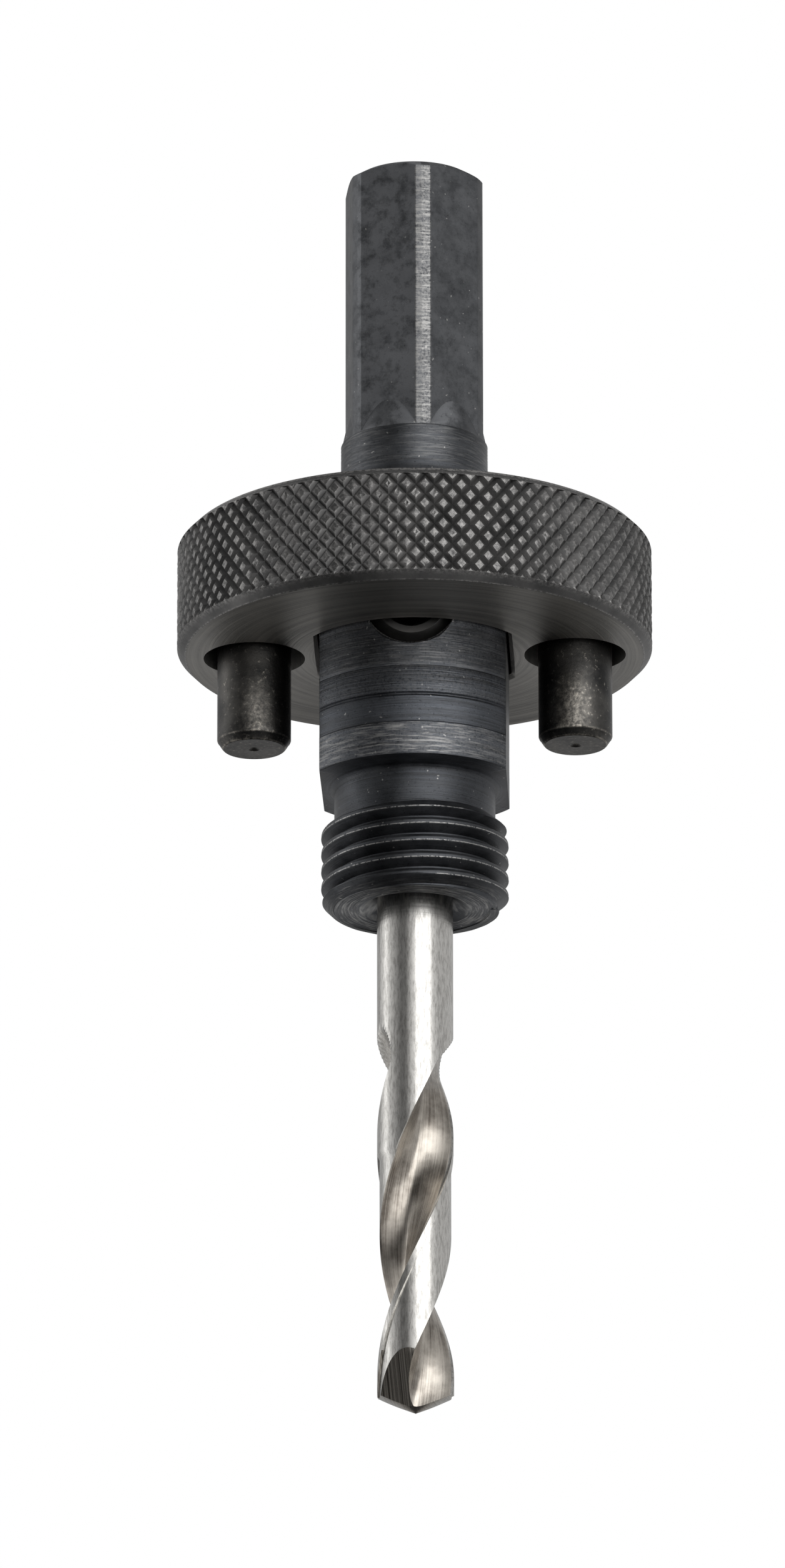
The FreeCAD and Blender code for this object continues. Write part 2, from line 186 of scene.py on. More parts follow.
# Collar with feed ridges, its fillet, and the flange that stops the plate.
lathe = [(COLLAR_R - RIDGE * (k % 2), SHANK_FOOT - 0.1 - 0.15 * k) for k in range(9)]
lathe += [(COLLAR_R + FILLET * (1.0 - math.cos(a)), COLLAR_FOOT - FILLET * math.sin(a))
          for a in np.radians(np.arange(0, 91, 10))]
lathe += [(BODY_R - FLANGE_EDGE, FLANGE_TOP), (BODY_R, FLANGE_TOP - FLANGE_EDGE), (BODY_R, FLANGE_FOOT)]
rows += [(r * one, z * one) for r, z in lathe]

# Double-D body, as cuts into its full round: feed ridges, the line where the tool stopped, two fine grooves,
# the shallow relief for the ball, and the band at the saw's seat.
waist = [(0.0, FLANGE_FOOT)] + [(RIDGE * (k % 2), 11.6 - 0.17 * k) for k in range(22)]
waist += [(0.07, STOP_LINE), (0.0, 7.7), (0.0, 5.5), (0.12, 5.42), (0.02, 5.34), (0.0, 5.24), (0.14, 5.16),
          (0.13, 3.6), (0.15, 3.5), (0.12, 2.95), (0.0, BAND_TOP), (0.0, 0.22), (0.07, 0.06), (0.22, 0.0)]
rows += [(np.minimum(double_d, BODY_R - cut), z * one) for cut, z in waist]

# Undercut neck, core of the thread, faced end with its rings, and the bore with a wide mouth.
tail = [(7.25, 0.0), (7.05, -0.08), (6.87, -0.25), (NECK_R, -0.5), (NECK_R, -2.99), (CORE_R, -3.22),
        (CORE_R, THREAD_END + 0.08), (CORE_R - 0.06, THREAD_END)]
tail += [(6.6 - 0.12 * k, -10.6 + RIDGE * (k % 2)) for k in range(17)]
tail += [(MOUTH_R, -10.5), (BORE_R + 0.05, -9.38), (BORE_R, -9.3), (BORE_R, 5.0), (BORE_R, 22.0),
         (BORE_R, BORE_TOP), (0.3, 27.0)]
rows += [(r * one, z * one) for r, z in tail]
bar = round_skin("arbor_bar", np.array([r for r, z in rows]), deg, np.array([z for r, z in rows]))

# Radial hole of the set screw, cut from the front, with the last grooves of its thread and a countersink.
SCREW_Z, SCREW_HOLE_R, SCREW_GROOVE, SINK_R = 14.1, 4.03, 0.17, 4.36
TO_FRONT = np.array([[1, 0, 0, 0], [0, 0, -1, 0], [0, 1, 0, SCREW_Z], [0, 0, 0, 1]], float)
hole = [(SCREW_HOLE_R, 0.0), (SCREW_HOLE_R, 8.1)]
hole += [(SCREW_HOLE_R + SCREW_GROOVE * (k % 2), 8.2 + 0.16 * k) for k in range(6)]
hole += [(SINK_R, 9.2), (SINK_R, 12.0)]
carve(bar, turned("hole", hole[::-1], TO_FRONT))


def linear(code):
    """An sRGB hex colour as linear red, green, blue and 1."""
    parts = [int(code[k:k + 2], 16) / 255.0 for k in (1, 3, 5)]
    return tuple(p / 12.92 if p <= 0.04045 else ((p + 0.055) / 1.055) ** 2.4 for p in parts) + (1.0,)


def put(tree, kind, sockets=None, stops=(), **settings):
    """Add one shader node. settings are its own, sockets are values or the outputs that they are linked to,
    and stops are a ramp's places and colours, in rising order."""
    made = tree.nodes.new("ShaderNode" + kind)
    for key, value in settings.items():
        setattr(made, key, value)
    for key, value in (sockets or {}).items():
        if isinstance(value, bpy.types.NodeSocket):
            tree.links.new(value, made.inputs[key])
        else:
            made.inputs[key].default_value = value
    for _ in stops[2:]:
        made.color_ramp.elements.new(1.0)
    for k, (place, colour) in enumerate(stops):
        made.color_ramp.elements[k].position = place
        made.color_ramp.elements[k].color = colour
    return made


def new_material(name, metallic, roughness):
    """A material with one Principled shader, and its node tree."""
    material = bpy.data.materials.new(name)
    material.use_nodes = True
    tree = material.node_tree
    shader = tree.nodes["Principled BSDF"]
    shader.inputs["Metallic"].default_value = metallic
    shader.inputs["Roughness"].default_value = roughness
    return material, tree, shader


def lathe_way(tree, where, height_share):
    """Coordinates for marks left by turning: x and y, and in place of z the distance from the axis plus
    height_share times z, so that marks run level on a cylinder and in rings on a face."""
    x, y, z = put(tree, "SeparateXYZ", {0: where}).outputs
    level = put(tree, "CombineXYZ", {0: x, 1: y, 2: 0.0}).outputs[0]
    away = put(tree, "VectorMath", {0: level}, operation="LENGTH").outputs["Value"]
    away = put(tree, "Math", {0: z, 1: height_share, 2: away}, operation="MULTIPLY_ADD").outputs[0]
    return put(tree, "CombineXYZ", {0: x, 1: y, 2: away}).outputs[0]


def lathe_gloss(tree, shader, where, amount):
    """Gloss drawn out across lines that run round the axis: the tangent is the place crossed with Z."""
    circling = put(tree, "VectorMath", {0: where, 1: (0.0, 0.0, 1.0)}, operation="CROSS_PRODUCT").outputs[0]
    tree.links.new(circling, shader.inputs["Tangent"])
    shader.inputs["Anisotropic"].default_value = amount
    shader.inputs["Anisotropic Rotation"].default_value = 0.25


# Hot black oxide on turned alloy steel: a thin magnetite film, blue black, that keeps the tool marks under
# it and has a soft metallic sheen. It wears to bare grey steel on edges. Feed marks are drawn about 0.2 mm
# apart, twice the real feed, so that they show.
oxide, tree, shader = new_material("hot_black_oxide_on_turned_steel", 1.0, 0.42)
where = put(tree, "TexCoord").outputs["Object"]
worn, scraped, milled_and_painted_light, feed_and_painted_shade = (put(tree, "Attribute", attribute_name=name).outputs["Fac"]
                               for name in ("worn", "scraped", "milled_and_painted_light", "feed_and_painted_shade"))
laid = lathe_way(tree, where, 1.0)
long_marks = put(tree, "VectorMath", {0: laid, 1: (90.0, 90.0, 5200.0)}, operation="MULTIPLY").outputs[0]
rings = put(tree, "TexNoise", {"Vector": long_marks, "Scale": 1.0, "Detail": 4.0, "Roughness": 0.7})
short_marks = put(tree, "VectorMath", {0: laid, 1: (560.0, 560.0, 6500.0)}, operation="MULTIPLY").outputs[0]
dashes = put(tree, "TexNoise", {"Vector": short_marks, "Scale": 1.0, "Detail": 3.0, "Roughness": 0.6})
mottle = put(tree, "TexNoise", {"Vector": where, "Scale": 420.0, "Detail": 6.0, "Roughness": 0.62})
grit = put(tree, "TexNoise", {"Vector": where, "Scale": 5200.0, "Detail": 3.0, "Roughness": 0.7})
blotch = put(tree, "TexNoise", {"Vector": where, "Scale": 750.0, "Detail": 7.0, "Roughness": 0.72})
fleck = put(tree, "TexNoise", {"Vector": where, "Scale": 2600.0, "Detail": 1.0})

# The film: mottled, bluer where the feed marks are strong and darker where painted shade keeps them weak,
# with fine pits, and lighter on milled faces, with painted light on the left front flat and the arches.
tone = put(tree, "ValToRGB", {"Fac": mottle.outputs["Fac"]},
           stops=[(0.3, linear("#3a3b3d")), (0.7, linear("#57585a"))])
lined = put(tree, "MapRange", {0: rings.outputs["Fac"], 1: 0.3, 2: 0.72, 3: 0.0, 4: 1.0}).outputs[0]
# Where the feed strength is kept low, from the stop line up, the darker film is painted shade of the plate.
lined = put(tree, "Math", {0: lined, 1: feed_and_painted_shade}, operation="MULTIPLY").outputs[0]
film = put(tree, "Mix", {"Factor": lined, "A": tone.outputs["Color"], "B": linear("#666a71")},
           data_type="RGBA")
pits = put(tree, "MapRange", {0: grit.outputs["Fac"], 1: 0.3, 2: 0.42, 3: 0.55, 4: 0.0}).outputs[0]
film = put(tree, "Mix", {"Factor": pits, "A": film.outputs["Result"], "B": linear("#17181a")},
           data_type="RGBA")
blotch = put(tree, "MapRange", {0: blotch.outputs["Fac"], 1: 0.36, 2: 0.56, 3: 0.25, 4: 1.15}).outputs[0]
# Painted light: these lighter blotches are strongest on the left front flat and on the arches by the front
# corner.
blotch = put(tree, "Math", {0: blotch, 1: milled_and_painted_light}, operation="MULTIPLY").outputs[0]
film = put(tree, "Mix", {"Factor": blotch, "A": film.outputs["Result"], "B": linear("#666769")},
           data_type="RGBA", blend_type="ADD")

# Bare steel: gritty where worn, in short marks where scraped, and in single flecks all over.
speck = put(tree, "MapRange", {0: grit.outputs["Fac"], 1: 0.42, 2: 0.56, 3: 0.0, 4: 1.0}).outputs[0]
speck = put(tree, "Math", {0: speck, 1: worn}, operation="MULTIPLY").outputs[0]
fleck = put(tree, "MapRange", {0: fleck.outputs["Fac"], 1: 0.745, 2: 0.775, 3: 0.0, 4: 0.8}).outputs[0]
speck = put(tree, "Math", {0: speck, 1: fleck}, operation="ADD").outputs[0]
scratch = put(tree, "MapRange", {0: dashes.outputs["Fac"], 1: 0.48, 2: 0.66, 3: 0.0, 4: 1.0}).outputs[0]
bare = put(tree, "Math", {0: scratch, 1: scraped, 2: speck}, operation="MULTIPLY_ADD", use_clamp=True)
skin = put(tree, "Mix", {"Factor": bare.outputs[0], "A": film.outputs["Result"], "B": linear("#a9a8a6")},
           data_type="RGBA")
tree.links.new(skin.outputs["Result"], shader.inputs["Base Color"])
lathe_gloss(tree, shader, where, 0.5)
rough = put(tree, "MapRange", {0: mottle.outputs["Fac"], 1: 0.3, 2: 0.7, 3: 0.36, 4: 0.5}).outputs[0]
rough = put(tree, "Math", {0: milled_and_painted_light, 1: 0.2, 2: rough}, operation="MULTIPLY_ADD").outputs[0]
tree.links.new(rough, shader.inputs["Roughness"])
relief = put(tree, "Math", {0: grit.outputs["Fac"], 1: lined, 2: 0.25}, operation="MULTIPLY_ADD")
raised = put(tree, "Math", {0: lined, 1: relief.outputs[0]}, operation="ADD")
bump = put(tree, "Bump", {"Strength": 0.5, "Distance": 0.00005, "Height": raised.outputs[0]})
tree.links.new(bump.outputs["Normal"], shader.inputs["Normal"])

# Where the film is worn: the strip of bar left at the hexagon's front corner, the arrises of the body, and
# the crests of the thread in the screw's hole.
x, y, z = coordinates(bar)
r = np.hypot(x, y)
toward = np.degrees(np.arctan2(y, x))
from_corner = np.abs(toward - HEX_CORNER)
on_strip = (r > BAR_R - 0.03) & (z > SHANK_FOOT) & (z < SHANK_TOP - 0.6) & (from_corner < 12.0)
arris = (r > BODY_R - 0.02) & (z < 21.0) & (z > -0.1)
hole_crests = (np.abs(np.hypot(x, z - SCREW_Z) - SCREW_HOLE_R) < 0.02) & (y < -8.0)
tell(bar, "worn", 0.4 * on_strip + 0.1 * arris + 1.6 * hole_crests)

# Where it is scraped: the same strip, the band at the saw's seat, most of all left of the front, the stop
# line and the ridges above it, the collar, and the faced end with the bore's mouth.
on_flat = (np.abs(np.abs(x) - BODY_HALF) < 0.02) & (z > -0.1) & (z < FLANGE_FOOT) & (r < BODY_R - 0.2)
on_end = (z < -9.2) & (r < 6.75) & (r > BORE_R + 0.02)
on_collar = (z > 27.0) & (z < SHANK_FOOT - 0.1)
seat_band = np.clip((BAND_TOP + 0.13 - z) / 0.1, 0.0, 1.0) * np.clip(z / 0.2, 0.0, 1.0)
bands = seat_band + 0.8 * (np.abs(z - STOP_LINE) < 0.12) + 0.35 * (z > 7.9) * (z < 11.5)
brightest = 0.4 + 0.6 * np.exp(-((toward + 97.0) / 32.0) ** 2)
tell(bar, "scraped", 0.8 * brightest * bands * (r > 7.0) * ~on_flat + 0.2 * on_collar + 0.85 * on_strip
     + 0.8 * on_end)

# Strength of the feed marks at heights from the faced end up to the shank's foot, kept low from the stop line
# up as painted shade of the plate, and how light the milled faces are, with painted light on the left of the
# two front flats and on both arches next to the front corner.
strength = np.array([(-11.0, 0.8), (-10.3, 0.2), (-4.0, 0.4), (-0.1, 0.45), (0.1, 0.8), (7.8, 0.8),
                     (8.0, 0.35), (24.0, 0.5), (30.0, 0.25), (30.6, 0.1)])
tell(bar, "feed_and_painted_shade", np.where(on_flat, 0.15, 1.0) * np.interp(z, strength[:, 0], strength[:, 1]))
arch_z = arch_height(np.minimum(BAR_R, hexagon_radius(HEX_FLATS, toward, HEX_CORNER)))
on_arch = (z < arch_z + 0.03) & (z > SHANK_FOOT + 0.02)
# Painted light: the arches are lighter the nearer they are to the front corner, and the left front flat is
# lighter than the other flats.
lit_arch = 2.2 * np.clip(1.1 - from_corner / 38.0, 0.1, 1.0)
lit_flat = np.where(np.abs(toward - HEX_CORNER + 30.0) < 29.0, 1.0, 0.35)
tell(bar, "milled_and_painted_light", (z > SHANK_FOOT - 0.05) * np.where(on_arch, lit_arch, lit_flat))
dress(bar, oxide, "arbor")
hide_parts("arbor_body")


# Saw thread
# The male thread for the saw, 5/8 inch, cut on the lathe on the end of the same bar and blackened with it.
# Its crests are narrow flats, and its ends fade into the chamfer and the neck.
PITCH, CREST_R, FIRST_TURN = 1.487, 7.85, -9.845
CHAMFER_R, FADE_SLOPE = 7.1, 1.222
turn = np.arange(-360.0, 1750.0, 2.0)[:, None]

# Section of the ridge: distance from the crest and height over its middle. It rises by one pitch a turn and
# stays inside two cones, the chamfer at the end and the fade towards the neck.
section = np.array([(-1.02, -0.69), (-0.1, -0.25), (-0.03, -0.18), (0.0, -0.13), (-0.012, -0.06),
                    (-0.02, 0.11), (-0.04, 0.17), (-0.1, 0.24), (-1.02, 0.69)])
ridge_z = FIRST_TURN + PITCH * (turn + 90.0) / 360.0 + section[None, :, 1]
ridge_r = CREST_R + section[None, :, 0] + 0.0 * ridge_z
cones = np.minimum(CHAMFER_R + (ridge_z - THREAD_END), NECK_R + (-3.0 - ridge_z) * FADE_SLOPE)
ridge_r = np.minimum(ridge_r, np.maximum(cones, 6.3))
thread = round_skin("saw_thread", ridge_r, turn, np.clip(ridge_z, THREAD_END + 0.002, -2.8))
x, y, z = coordinates(thread)
tell(thread, "worn", 2.2 * (np.hypot(x, y) > CREST_R - 0.01))
tell(thread, "scraped", 0.4 * (z < -10.2))
tell(thread, "milled_and_painted_light", np.zeros_like(x))
tell(thread, "feed_and_painted_shade", np.full_like(x, 0.25))
dress(thread, oxide, "arbor", 24.0)


# Pilot drill
# A quarter inch twist drill of high speed steel, ground round, with two helical flutes, lands relieved
# behind narrow margins, and two facets behind each lip. A flat on its shank takes the set screw.
DRILL_R, WEB, TIP, DRILL_TOP, TOP_CHAMFER = 3.175, 0.625, -54.4, 25.0, 0.4
LEAD, PHASE = 41.7, -24.2
MARGIN, LAND, RELIEF = 10.0, 73.8, 0.2
FLUTE_TOP, RUNOUT_LENGTH, RUNOUT_WAY, RELIEF_TOP = TIP + 33.8, 4.7, 127.0, TIP + 21.8
POINT_HALF, FACET_START = 65.0, 0.7
SHANK_FLAT, FLAT_FOOT = 2.575, 8.93


def smooth_curve(knots, count):
    """A curve through the knots, count points to a span: each span is a cubic whose slope at a knot is half
    the step between that knot's two neighbours."""
    ends = np.concatenate([[2 * knots[0] - knots[1]], knots, [2 * knots[-1] - knots[-2]]])
    t = np.linspace(0.0, 1.0, count, endpoint=False)[:, None]
    spans = []
    for p0, p1, p2, p3 in zip(ends[:-3], ends[1:-2], ends[2:-1], ends[3:]):
        spans.append(0.5 * (2 * p1 + (p2 - p0) * t + (2 * p0 - 5 * p1 + 4 * p2 - p3) * t ** 2
                            + (3 * p1 - p0 - 3 * p2 + p3) * t ** 3))
    return np.concatenate(spans + [knots[-1:]])


def ray(length, degrees):
    """A point of the section at a distance and an angle."""
    return [length * math.cos(math.radians(degrees)), length * math.sin(math.radians(degrees))]


# Half of the section, as a radius at each angle from the margin's edge. The valley is the flute's outline.
valley = smooth_curve(np.array([
    ray(1.3 * DRILL_R, LAND - 4.0), ray(DRILL_R, LAND), [0.15 * DRILL_R, 0.62 * DRILL_R],
    [-0.1 * WEB, 1.6 * WEB], [-1.1 * WEB, WEB], [-0.62 * DRILL_R, 0.45 * WEB], ray(DRILL_R, 180.0),
    [-1.3 * DRILL_R, -0.45 * WEB]]), 24)
around_half = np.concatenate([
    np.linspace(0.0, 0.6, 3, endpoint=False), np.linspace(0.6, MARGIN, 5), [MARGIN + 0.4],
    np.linspace(MARGIN + 2.0, LAND - 1.0, 34), np.linspace(LAND - 0.4, 77.0, 12), np.linspace(78.0, 94.0, 16),
    np.linspace(95.5, 138.0, 26), np.linspace(139.5, 171.0, 22), np.linspace(172.0, 179.5, 12)])
heights = np.concatenate([
    [DRILL_TOP, DRILL_TOP - TOP_CHAMFER], np.linspace(22.0, FLUTE_TOP + 0.3, 16),
    np.linspace(FLUTE_TOP + 0.1, RELIEF_TOP + 0.7, 40), [RELIEF_TOP + 0.5, RELIEF_TOP],
    np.linspace(RELIEF_TOP - 0.2, TIP - 0.5, 96)])
half = []
for level in heights:
    into = max(0.0, (level - (FLUTE_TOP - RUNOUT_LENGTH)) / RUNOUT_LENGTH)
    lift = (DRILL_R - WEB + 0.25) * into * into * (2.0 - into)
    moved = valley + lift * np.array(ray(1.0, RUNOUT_WAY))
    seen_at = np.degrees(np.arctan2(moved[:, 1], moved[:, 0])) % 360.0
    order = np.argsort(seen_at)
    flute = np.interp(around_half, seen_at[order], np.hypot(*moved.T)[order], left=9.0, right=9.0)
    land = np.where((level <= RELIEF_TOP) & (around_half > MARGIN + 0.2), DRILL_R - RELIEF, DRILL_R)
    if level > DRILL_TOP - 0.01:
        land = land - TOP_CHAMFER
    half.append(land if level > FLUTE_TOP else np.minimum(land, flute))
twist = PHASE + 360.0 * (np.clip(heights, TIP - 1.0, FLUTE_TOP) - TIP) / LEAD
drill_deg = np.concatenate([around_half, around_half + 180.0])[None] + twist[:, None]
drill = round_skin("pilot_twist_drill", np.tile(half, (1, 2)), drill_deg, heights[:, None] + 0.0 * drill_deg)


def block(name, low, high, place=np.eye(4)):
    """A box between two corners, turned and shifted by a matrix, as a cutter: its eight points are all the
    mixes of the two corners' coordinates. They are rounded to single precision at each step, as a mesh keeps
    them, so that the drill's flat ends just where the screw's point does."""
    share = np.array([[i, j, k] for i in (0, 1) for j in (0, 1) for k in (0, 1)], float)
    points = (np.array(low) + share * (np.array(high) - np.array(low))).astype(np.float32)
    way = np.array(place, np.float32)
    points = ((points[:, None] * way[:3, :3]).sum(-1, dtype=float) + way[:3, 3]).astype(np.float32)
    sides = [(0, 1, 3, 2), (2, 3, 7, 6), (6, 7, 5, 4), (4, 5, 1, 0), (2, 6, 4, 0), (7, 3, 1, 5)]
    mesh = bpy.data.meshes.new(name)
    mesh.from_pydata((points * np.float32(MM)).tolist(), [], sides)
    piece = bpy.data.objects.new(name, mesh)
    bpy.context.scene.collection.objects.link(piece)
    return piece


# The point, a cone of 130 degrees with a steep second facet behind each lip, and the flat on the shank.
slope = math.tan(math.radians(POINT_HALF))
LIP = math.radians(PHASE + 360.0 * DRILL_R / slope / LEAD)
outside = turned("outside", [(0.01, TIP + 0.01 / slope), (6.0, TIP + 6.0 / slope), (6.0, TIP - 3.0),
                             (0.01, TIP - 3.0)])
facets = []
for half_turn in (0.0, math.pi):
    place = (Matrix.Rotation(LIP + half_turn, 4, "Z") @ Matrix.Translation((0.0, FACET_START, TIP))
             @ Matrix.Rotation(math.radians(POINT_HALF), 4, "X"))
    facets.append(block("facet", (-8.0, 0.0, -6.0), (8.0, 16.0, 0.0), np.array(place)))
carve(drill, outside, *facets, block("flat", (-5.0, -9.0, FLAT_FOOT), (5.0, -SHANK_FLAT, 30.0)))

# Bright ground high speed steel: white grey metal with fine lines round the shank, and flutes that carry a
# warm straw tint from grinding, with lines along the helix. The lines are drawn 0.12 to 0.2 mm apart, some
# ten times the real grit's, so that they show.
ground, tree, shader = new_material("ground_high_speed_steel", 1.0, 0.2)
where = put(tree, "TexCoord").outputs["Object"]
unwound = put(tree, "Attribute", attribute_name="unwound").outputs["Vector"]
fluted, facet = (put(tree, "Attribute", attribute_name=name).outputs["Fac"] for name in ("fluted", "facet"))
along = put(tree, "VectorMath", {0: unwound, 1: (8500.0, 8500.0, 120.0)}, operation="MULTIPLY").outputs[0]
helix = put(tree, "TexNoise", {"Vector": along, "Scale": 1.0, "Detail": 4.0, "Roughness": 0.65})
across = put(tree, "VectorMath", {0: where, 1: (160.0, 160.0, 5000.0)}, operation="MULTIPLY").outputs[0]
hoops = put(tree, "TexNoise", {"Vector": across, "Scale": 1.0, "Detail": 3.0, "Roughness": 0.6})
lines = put(tree, "Mix", {"Factor": fluted, "A": hoops.outputs["Fac"], "B": helix.outputs["Fac"]})

# Flutes stained in patches and along the helix, shank and lands finely grained, facets striped along the lip.
stain = put(tree, "TexNoise", {"Vector": unwound, "Scale": 260.0, "Detail": 5.0, "Roughness": 0.6})
stain = put(tree, "Math", {0: stain.outputs["Fac"], 1: 0.68}, operation="MULTIPLY").outputs[0]
stain = put(tree, "Math", {0: helix.outputs["Fac"], 1: 0.32, 2: stain}, operation="MULTIPLY_ADD").outputs[0]
flute_tone = put(tree, "ValToRGB", {"Fac": stain},
                 stops=[(0.38, linear("#665f58")), (0.6, linear("#cfc8be"))])
grain = put(tree, "VectorMath", {0: where, 1: (5200.0, 5200.0, 1100.0)}, operation="MULTIPLY").outputs[0]
grain = put(tree, "TexNoise", {"Vector": grain, "Scale": 1.0, "Detail": 4.0, "Roughness": 0.7})
shaft_tone = put(tree, "ValToRGB", {"Fac": grain.outputs["Fac"]},
                 stops=[(0.34, linear("#a5a39f")), (0.56, linear("#d2d0cc"))])
steel = put(tree, "Mix", {"Factor": fluted, "A": shaft_tone.outputs["Color"],
                          "B": flute_tone.outputs["Color"]}, data_type="RGBA")
stripes = put(tree, "VectorMath", {0: where, 1: (math.cos(LIP), math.sin(LIP), 0.0)}, operation="DOT_PRODUCT")
stripes = put(tree, "CombineXYZ", {0: stripes.outputs["Value"]}).outputs[0]
stripes = put(tree, "TexNoise", {"Vector": stripes, "Scale": 6500.0, "Detail": 3.0, "Roughness": 0.7})
facet_tone = put(tree, "ValToRGB", {"Fac": stripes.outputs["Fac"]},
                 stops=[(0.4, linear("#46423d")), (0.62, linear("#b5afa6"))])
steel = put(tree, "Mix", {"Factor": facet, "A": steel.outputs["Result"], "B": facet_tone.outputs["Color"]},
            data_type="RGBA")
tree.links.new(steel.outputs["Result"], shader.inputs["Base Color"])
lathe_gloss(tree, shader, where, 0.45)
rough = put(tree, "Mix", {"Factor": fluted, "A": 0.17, "B": 0.22}).outputs["Result"]
rough = put(tree, "Math", {0: lines.outputs["Result"], 1: 0.12, 2: rough}, operation="MULTIPLY_ADD")
tree.links.new(rough.outputs[0], shader.inputs["Roughness"])
bump = put(tree, "Bump", {"Strength": 0.22, "Distance": 0.00002, "Height": lines.outputs["Result"]})
tree.links.new(bump.outputs["Normal"], shader.inputs["Normal"])

# Coordinates with the helix turned back, the ground flutes, which fade out towards the shank, and the facets,
# told from the cone by how far they face down.
x, y, z = coordinates(drill)
r = np.hypot(x, y)
back = np.radians(PHASE + 360.0 * (np.clip(z, TIP, FLUTE_TOP) - TIP) / LEAD)
turned_back = np.stack([x * np.cos(back) + y * np.sin(back), y * np.cos(back) - x * np.sin(back), z], -1) * MM
drill.data.attributes.new("unwound", "FLOAT_VECTOR", "POINT").data.foreach_set(
    "vector", turned_back.astype(np.float32).ravel())
fade = np.interp(z, [FLUTE_TOP - 6.0, FLUTE_TOP - 2.5], [1.0, 0.3])
tell(drill, "fluted", (r < DRILL_R - RELIEF - 0.03) * fade)
count = len(drill.data.polygons)
normal, center = np.empty(count * 3, np.float32), np.empty(count * 3, np.float32)
drill.data.polygons.foreach_get("normal", normal)
drill.data.polygons.foreach_get("center", center)
down, over_tip = -normal[2::3], center[2::3] / MM - TIP
second_facet = (down > 0.39) & (down < 0.45) & (over_tip < 5.0)
tell(drill, "facet", second_facet + 0.4 * ((down > 0.85) & (over_tip < 2.0)), "FACE")
dress(drill, ground, "drill", 30.0)
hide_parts("pilot_drill")


# Set screw
# A short headless screw with a flat point, bought in, hexagon socket outwards. It clamps the drill by the
# flat on its shank.
SCREW_LENGTH = 5.75


def socket_screw(name, radius, length, chamfer, point_r, point_chamfer, across_flats, depth, place):
    """Headless screw along its own axis, point at 0: an outline of revolution, and a hexagon hole whose wall
    is the hexagon's radius at each angle, with a round lead-in as wide as its corners."""
    corner = across_flats / math.sqrt(3.0)
    outline = [(point_r, 0.0), (radius, point_chamfer), (radius, length - chamfer),
               (radius - chamfer, length), (corner + 0.12, length), (corner, length - 0.12),
               (corner, length - 0.35), (corner, length - depth), (0.3, length - depth - 0.3)]

    def hexagonal(r, h, t):
        inner = np.isclose(r, corner) & (h < length - 0.2)
        return np.where(inner, np.minimum(r, hexagon_radius(across_flats, np.degrees(t), -90.0)), r)

    return turned(name, outline, place, 96, hexagonal)


screw_place = TO_FRONT.copy()
screw_place[:3, 3] += screw_place[:3, 2] * SHANK_FLAT
screw = socket_screw("clamp_set_screw", radius=3.96, length=SCREW_LENGTH, chamfer=0.95, point_r=2.8,
                     point_chamfer=1.0, across_flats=4.0, depth=3.2, place=screw_place)

# Black oxide from a barrel line on a small screw: deep black, a little oily, rubbed brighter where the key
# goes in.
barrel, tree, shader = new_material("barrel_black_oxide_screw", 1.0, 0.34)
where = put(tree, "TexCoord").outputs["Object"]
keyed = put(tree, "Attribute", attribute_name="keyed").outputs["Fac"]
mottle = put(tree, "TexNoise", {"Vector": where, "Scale": 900.0, "Detail": 4.0})
tone = put(tree, "ValToRGB", {"Fac": mottle.outputs["Fac"]},
           stops=[(0.3, linear("#2f3032")), (0.7, linear("#4a4a4b"))])
skin = put(tree, "Mix", {"Factor": keyed, "A": tone.outputs["Color"], "B": linear("#b5b3b0")},
           data_type="RGBA")
tree.links.new(skin.outputs["Result"], shader.inputs["Base Color"])
bump = put(tree, "Bump", {"Strength": 0.3, "Distance": 0.00003, "Height": mottle.outputs["Fac"]})
tree.links.new(bump.outputs["Normal"], shader.inputs["Normal"])
reach = -coordinates(screw)[1] - SHANK_FLAT
tell(screw, "keyed", 0.12 * (reach > SCREW_LENGTH - 1.0) + 0.3 * (reach > SCREW_LENGTH - 0.03))
dress(screw, barrel, "clamp_screw")
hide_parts("set_screw")


# Drive plate
# A thick turned steel disc with a double-D hole, diamond knurled on its rim so that it can be gripped, and
# blackened. It slides on the flats of the body and carries the pins.
PLATE_R, PLATE_LOW, PLATE_HIGH, EDGE = 20.0, 11.85, 21.7, 0.7
HOLE_R, HOLE_HALF, HOLE_EDGE = 9.625, 8.02, 0.35
DIAMONDS, DIAMOND_HEIGHT, KNURL_DEPTH, TIP_SHARE = 82, 1.73, 0.34, 0.58
PIN_PLACE, PIN_HOLE_R, PIN_BORE_R, PIN_BORE_TOP = 13.5, 3.2, 4.27, 14.25
CATCH_Z, CATCH_R, BALL_HOLE_R, CATCH_SEAT = PLATE_LOW + 4.0, 2.55, 2.08, 16.38


def from_groove(share):
    """0 at the bottom of a groove, 1 half way to the next one."""
    return 2.0 * np.abs(share - np.round(share))


# The knurl: two sets of grooves that climb to either side, eight columns and eight rows to a diamond. The
# rim falls from the tips' flats into the nearer groove.
cols = DIAMONDS * 8
deg = np.arange(cols) * 360.0 / cols - 90.0
one = np.ones(cols)
knurl_low, knurl_high = PLATE_LOW + EDGE + 0.02, PLATE_HIGH - EDGE - 0.02
knurl_z = np.arange(knurl_high, knurl_low, -DIAMOND_HEIGHT / 8.0)
down_rim = np.arange(len(knurl_z))[:, None] / 8.0
climb, fall = np.arange(cols)[None] / 8.0 + down_rim, np.arange(cols)[None] / 8.0 - down_rim
near = np.minimum(from_groove(climb), from_groove(fall))
uneven = np.random.default_rng(7).normal(0.0, 0.035, near.shape) * (near > 0.6)
groove = KNURL_DEPTH * (1.0 - np.minimum(near, TIP_SHARE) / TIP_SHARE) ** 1.2
knurl_r = PLATE_R - groove + np.minimum(uneven, 0.0)

